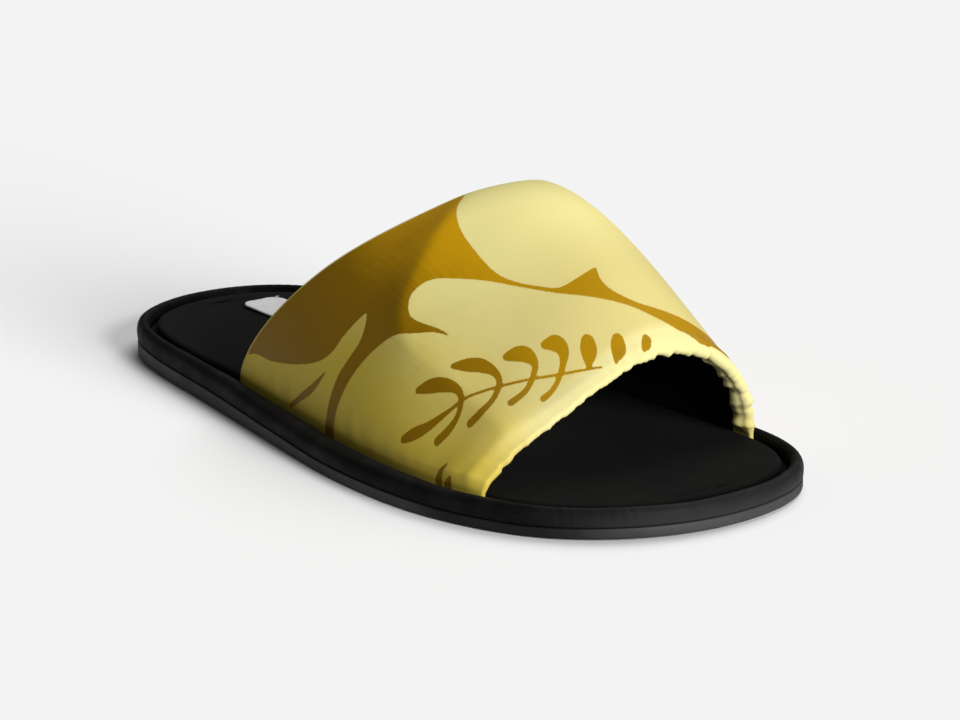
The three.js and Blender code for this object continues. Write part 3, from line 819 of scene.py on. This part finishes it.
FRONDS = {
    "stem": [(209, -63.5, 0.6), (211, -59, 0.5), (216, -50.5, 0.45), (222, -41, 0.42), (228, -31, 0.4),
             (233.5, -19.5, 0.3)],
    "low_leaf": [(197, -79.5, 1.2), (200.5, -76, 1.9), (204.5, -71.5, 1.5), (209, -63.5, 0.6)],
    "first_pair": [(193.5, -66.5, 1.0), (197.5, -63, 2.0), (202, -60, 2.0), (207, -58.2, 1.3),
                   (210.5, -59.4, 1.0), (212.6, -63.5, 1.0), (212.5, -68, 1.4), (211, -72.5, 1.5)],
    "second_pair": [(200.5, -54.5, 0.9), (204.3, -51.2, 2.0), (208.2, -48.4, 2.0), (213, -46.8, 1.2),
                    (216.7, -48, 1.0), (219.2, -53, 1.0), (219.4, -58, 1.3), (218.5, -62, 1.4)],
    "third_pair": [(212.3, -41.4, 1.1), (214.3, -38.4, 2.1), (217, -36.2, 2.1), (220.4, -36, 1.2),
                   (222.8, -39, 0.9), (224.4, -43.5, 0.9), (224.3, -49, 1.2)],
    "fourth_pair": [(218.6, -30.4, 1.1), (220.6, -27.4, 2.2), (223.2, -26.6, 2.0), (225.8, -28.6, 1.1),
                    (228.2, -32.5, 0.8), (229.6, -36.5, 0.8), (229.8, -40.5, 1.0)],
    "fifth_bud": [(226.6, -19, 2.2), (228, -20, 2.6), (229.8, -21.6, 1.6), (231.6, -23.2, 0.5)],
    "sixth_bud": [(230.8, -10.4, 1.9), (231.9, -11.4, 2.3), (233.2, -13, 1.5), (234.6, -14.8, 0.5)],
    "seventh_bud": [(233.6, -1.8, 1.2), (234.4, -3, 1.2), (235.2, -4.6, 0.6)],
    "flame_notch": [(147.5, -80.5, 0.2), (142, -87.5, 1.2), (136, -92.5, 1.1), (130, -97, 0.6)],
    "foot_buds": [(218.5, -81, 1.7), (219, -77.5, 0.9), (220, -75, 0.4)],
    "foot_bud": [(222.6, -80, 1.7), (223.6, -76.8, 0.6)],
    "inner_stem": [(177, 77, 0.5), (188, 69.5, 0.5), (199, 64, 0.45), (211, 59.5, 0.4), (222, 56, 0.35)],
    "inner_first": [(172, 68, 1.0), (176, 64, 1.9), (181, 62.5, 1.6), (185, 65.5, 1.0), (187, 70.5, 1.0),
                    (186, 75.5, 1.4)],
    "inner_second": [(186, 58.5, 1.0), (190, 56.5, 1.9), (194, 57.5, 1.4), (197, 61.5, 0.9),
                     (199, 67, 0.9), (198, 72, 1.3)],
    "inner_third": [(204, 55.5, 1.2), (207, 54.5, 1.8), (210, 56.5, 1.0), (212, 60.5, 0.8),
                    (211, 65.5, 1.1)],
    "inner_bud": [(219, 51.5, 1.7), (221, 53, 1.2), (223, 55.5, 0.5)],
    "inner_notch": [(150, 62, 0.2), (144, 70, 1.1), (138, 76, 1.1), (133, 82, 0.6)],
}
FAR_AWAY = 1e6
MIDDLE_THREAD = 0.9
PALE_FRONT_EDGE = 1.2
# How wide the painted highlight of pale thread along the back edge is.
BACK_EDGE_HIGHLIGHT = 0.45
TURNED_PALE = -3.0


def leaf_distance(cloth, runs):
    """Signed distance to a leaf's outline in millimetres, negative inside."""
    line = np.vstack([smooth_run(run) if len(run) > 2 else np.array(run, float) for run in runs])
    least = np.full(cloth.shape[:-1], FAR_AWAY)
    inside = np.zeros(cloth.shape[:-1], bool)
    for start, end in zip(line, np.roll(line, -1, axis=0)):
        least = np.minimum(least, to_segment(cloth, start, end)[0])
        if start[1] != end[1]:
            level = (start[1] > cloth[..., 1]) != (end[1] > cloth[..., 1])
            crossing = start[0] + (cloth[..., 1] - start[1]) / (end[1] - start[1]) * (end[0] - start[0])
            inside ^= level & (cloth[..., 0] < crossing)
    return np.where(inside, -least, least)


def stroke_distance(cloth, points):
    """Signed distance to a stroke whose half width changes along it."""
    line = smooth_run(points)
    least = np.full(cloth.shape[:-1], FAR_AWAY)
    for start, end in zip(line[:-1], line[1:]):
        away, along = to_segment(cloth, start[:2], end[:2])
        least = np.minimum(least, away - mix(start[2], end[2], along))
    return least


sheet = np.stack([reach_map, drape + MIDDLE_THREAD], axis=-1)
motif = np.min([leaf_distance(sheet, runs) for runs in LEAVES.values()], axis=0)
frond = np.min([stroke_distance(sheet, points) for points in FRONDS.values()], axis=0)
motif = np.maximum(motif, -frond)
motif = np.minimum(motif, to_front - PALE_FRONT_EDGE)
# Painted highlight: a thin line of pale thread along the turned back edge.
motif = np.minimum(motif, to_back - BACK_EDGE_HIGHLIGHT)
motif_rows = np.full((len(rows), columns), TURNED_PALE)
motif_rows[:len(motif)] = motif
# The back roll carries the same painted highlight.
motif_rows[-BACK_ROLL_STEPS:] = motif[0]
sheet_rows = np.concatenate([
    sheet,
    np.repeat(sheet[-1:], ROLL_STEPS - 1, axis=0),
    sheet[inner_rows],
    np.repeat(sheet[:1], BACK_ROLL_STEPS, axis=0),
])

# Pale threads: painted shaded low on the flanks, painted lit over the crown, painted shade towards the toe,
# and a painted highlight on the hem.
PALE = (0.45, 0.345, 0.045, 1.0)
PALE_LIT = (0.60, 0.535, 0.215, 1.0)
PALE_FRONT_SHADED = (0.45, 0.385, 0.145, 1.0)
PALE_HEM_HIGHLIGHT = (0.56, 0.505, 0.23, 1.0)
# Gold ground: painted shaded low on the flanks, painted lit over the crown, and painted shade towards the
# toe.
GROUND = (0.185, 0.098, 0.001, 1.0)
GROUND_LIT = (0.40, 0.215, 0.003, 1.0)
GROUND_FRONT_SHADED = (0.27, 0.145, 0.0018, 1.0)
LINING_BLACK = (0.0025, 0.0025, 0.0025, 1.0)
LINING_GREY = (0.006, 0.006, 0.006, 1.0)
WEFT_PITCH = 0.6
SLUB_STRETCH = (60.0, 900.0, 1.0)
PATCHES = dict(cloud=0.022, slub=0.012)
FRAY = dict(wide=0.5, back=0.25, soft=0.14)
# How far down from the crown the painted light gives way to painted shade on the flanks.
CROWN_LIT_FADE = dict(pale_start=18.0, pale_end=62.0, ground_start=12.0, ground_end=40.0)
# Where the painted shade towards the toe and the painted highlight on the hem begin and end.
FRONT_SHADE_AND_HIGHLIGHT = dict(toe_start=186.0, toe_end=216.0, hem_start=229.5, hem_end=233.5)

damask, tree, shader, _ = finish_of("gold_damask")
warp, threads = weave_of(tree, pitch=0.55, slant=0.25)
axes = split_of(tree, threads)
weft = sum_of(tree, "MULTIPLY_ADD", wave_of(tree, axes["X"], WEFT_PITCH), 0.5, 0.5)
fray = noise_of(tree, threads, scale=1800.0, detail=2.0)
slub_where = add_node(tree, "ShaderNodeMapping", Vector=threads, Scale=SLUB_STRETCH).outputs["Vector"]
slub = noise_of(tree, slub_where, scale=1.0)
cloud = noise_of(tree, threads, scale=38.0)
distance = add_node(tree, "ShaderNodeAttribute", dict(attribute_name="motif")).outputs["Fac"]
edge = sum_of(tree, "MULTIPLY_ADD", fray, FRAY["wide"], sum_of(tree, "SUBTRACT", distance, FRAY["back"]))
pale_share = fade_of(tree, edge, -FRAY["soft"], FRAY["soft"])
patchy = sum_of(tree, "MULTIPLY", slub, PATCHES["slub"])
patchy = sum_of(tree, "MULTIPLY_ADD", cloud, PATCHES["cloud"], patchy)
# Painted light over the crown and painted shade down the flanks, their edge made uneven by random patches.
down = sum_of(tree, "SUBTRACT", sum_of(tree, "ABSOLUTE", axes["Y"]), patchy)
pale_fade = fade_of(tree, down, CROWN_LIT_FADE["pale_start"] * MM, CROWN_LIT_FADE["pale_end"] * MM)
ground_fade = fade_of(tree, down, CROWN_LIT_FADE["ground_start"] * MM, CROWN_LIT_FADE["ground_end"] * MM)
# Painted shade towards the toe, and a painted highlight on the rolled hem.
to_toe = ramp_of(tree, axes["X"], FRONT_SHADE_AND_HIGHLIGHT["toe_start"] * MM, FRONT_SHADE_AND_HIGHLIGHT["toe_end"] * MM)
to_hem = ramp_of(tree, axes["X"], FRONT_SHADE_AND_HIGHLIGHT["hem_start"] * MM, FRONT_SHADE_AND_HIGHLIGHT["hem_end"] * MM)
pale_top = blend_of(tree, to_hem, blend_of(tree, to_toe, PALE_LIT, PALE_FRONT_SHADED), PALE_HEM_HIGHLIGHT)
pale_tone = blend_of(tree, pale_fade, PALE, pale_top)
ground_top = blend_of(tree, to_toe, GROUND_LIT, GROUND_FRONT_SHADED)
ground_tone = blend_of(tree, ground_fade, GROUND, ground_top)
thread_height = add_node(tree, "ShaderNodeMix", dict(data_type="FLOAT"), i0=pale_share, i2=weft, i3=warp)
woven = bump_of(tree, thread_height.outputs[0], strength=0.12, distance=0.12)
raised = bump_of(tree, pale_share, strength=0.3, distance=0.12, over=woven)
dress(tree, shader, {
    "Base Color": blend_of(tree, pale_share, ground_tone, pale_tone),
    "Normal": bump_of(tree, slub, strength=0.04, distance=0.12, over=raised),
    "Roughness": ramp_of(tree, pale_share, low=0.0, high=1.0, start=0.42, end=0.52),
    "Specular IOR Level": 0.1,
    "Specular Tint": (1.0, 0.8, 0.3, 1.0),
    "Sheen Weight": 0.025,
    "Sheen Roughness": 0.4,
    "Sheen Tint": (1.0, 0.88, 0.4, 1.0),
})

lining, tree, shader, where = finish_of("black_lining")
plain, _ = weave_of(tree, pitch=0.6)
fluff = noise_of(tree, where, scale=700.0, detail=4.0)
woven = bump_of(tree, plain, strength=0.2, distance=0.12)
dress(tree, shader, {
    "Base Color": blend_of(tree, ramp_of(tree, fluff, low=0.35, high=0.7), LINING_BLACK, LINING_GREY),
    "Normal": bump_of(tree, fluff, strength=0.25, distance=0.3, over=woven),
    "Roughness": 0.9,
    "Specular IOR Level": 0.1,
})

shape, spot = warped_grid(rows, fields={"motif": motif_rows}, cloth=sheet_rows)
first_lining = len(outer) + ROLL_STEPS - 1 + TURNED_ROWS
last_lining = first_lining + INNER_ROWS - TURNED_ROWS
for face in shape.faces:
    row = min(spot[vertex][0] for vertex in face.verts)
    face.material_index = 1 if first_lining <= row < last_lining else 0
bmesh.ops.remove_doubles(shape, verts=shape.verts, dist=SEAM_MERGE * MM)
open_edges = [edge for edge in shape.edges if edge.is_boundary]
bmesh.ops.holes_fill(shape, edges=open_edges, sides=0)
upper = finish_piece("damask_upper", shape, [damask, lining], crease=75)
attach(upper, "root")
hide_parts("upper")

# Stage: a plain pale floor, a broad soft light from ahead of the toe and another from above and behind,
# a faint even sky, and a camera at the photo's angle.
FLOOR_SIZE = 6.0
FLOOR_WHITE = (0.82, 0.82, 0.82, 1.0)
CAMERA = dict(place=(1.2268, -0.8655, 0.4495), aim=(0.0081, 0.0140, 0.020), roll=-0.5)
LENS = dict(focal=186.3, sensor=36.0)
KEY = dict(place=(0.95, 0.0, 0.3), spread=26.0, power=5.2)
BACK = dict(place=(-0.2, 0.5, 0.84), spread=50.0, power=1.85)
SKY = (1.0, 1.0, 1.0, 1.0)
SKY_STRENGTH = 0.1

paper, tree, shader, where = finish_of("pale_floor")
mottle = noise_of(tree, where, scale=3.0, detail=2.0)
dress(tree, shader, {
    "Base Color": FLOOR_WHITE,
    "Roughness": ramp_of(tree, mottle, low=0.2, high=0.8, start=0.8, end=0.9),
    "Specular IOR Level": 0.0,
})
shape = bmesh.new()
bmesh.ops.create_grid(shape, x_segments=4, y_segments=4, size=FLOOR_SIZE)
floor = finish_piece("floor", shape, [paper])
floor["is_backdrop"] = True


def turned_to(piece, aim, roll=0.0):
    """Turns a lamp or camera to an aim, rolled by an angle in degrees."""
    facing = (Vector(aim) - piece.location).to_track_quat("-Z", "Y")
    piece.rotation_euler = (facing @ Quaternion((0.0, 0.0, 1.0), math.radians(roll))).to_euler()


for name, lamp in (("key_light", KEY), ("back_light", BACK)):
    light = bpy.data.lights.new(name, "SUN")
    light.angle = math.radians(lamp["spread"])
    light.energy = lamp["power"]
    stand = bpy.data.objects.new(name, light)
    stand.location = lamp["place"]
    turned_to(stand, (0.0, 0.0, 0.0))
    bpy.context.scene.collection.objects.link(stand)

world = bpy.data.worlds.new("studio")
world.use_nodes = True
world.node_tree.nodes["Background"].inputs["Color"].default_value = SKY
world.node_tree.nodes["Background"].inputs["Strength"].default_value = SKY_STRENGTH
bpy.context.scene.world = world
bpy.context.scene.view_settings.view_transform = "Standard"

camera = bpy.data.objects.new("camera", bpy.data.cameras.new("camera"))
camera.data.lens = LENS["focal"]
camera.data.sensor_width = LENS["sensor"]
camera.location = CAMERA["place"]
turned_to(camera, CAMERA["aim"], CAMERA["roll"])
bpy.context.scene.collection.objects.link(camera)
bpy.context.scene.camera = camera

bpy.context.view_layer.update()
low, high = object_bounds()
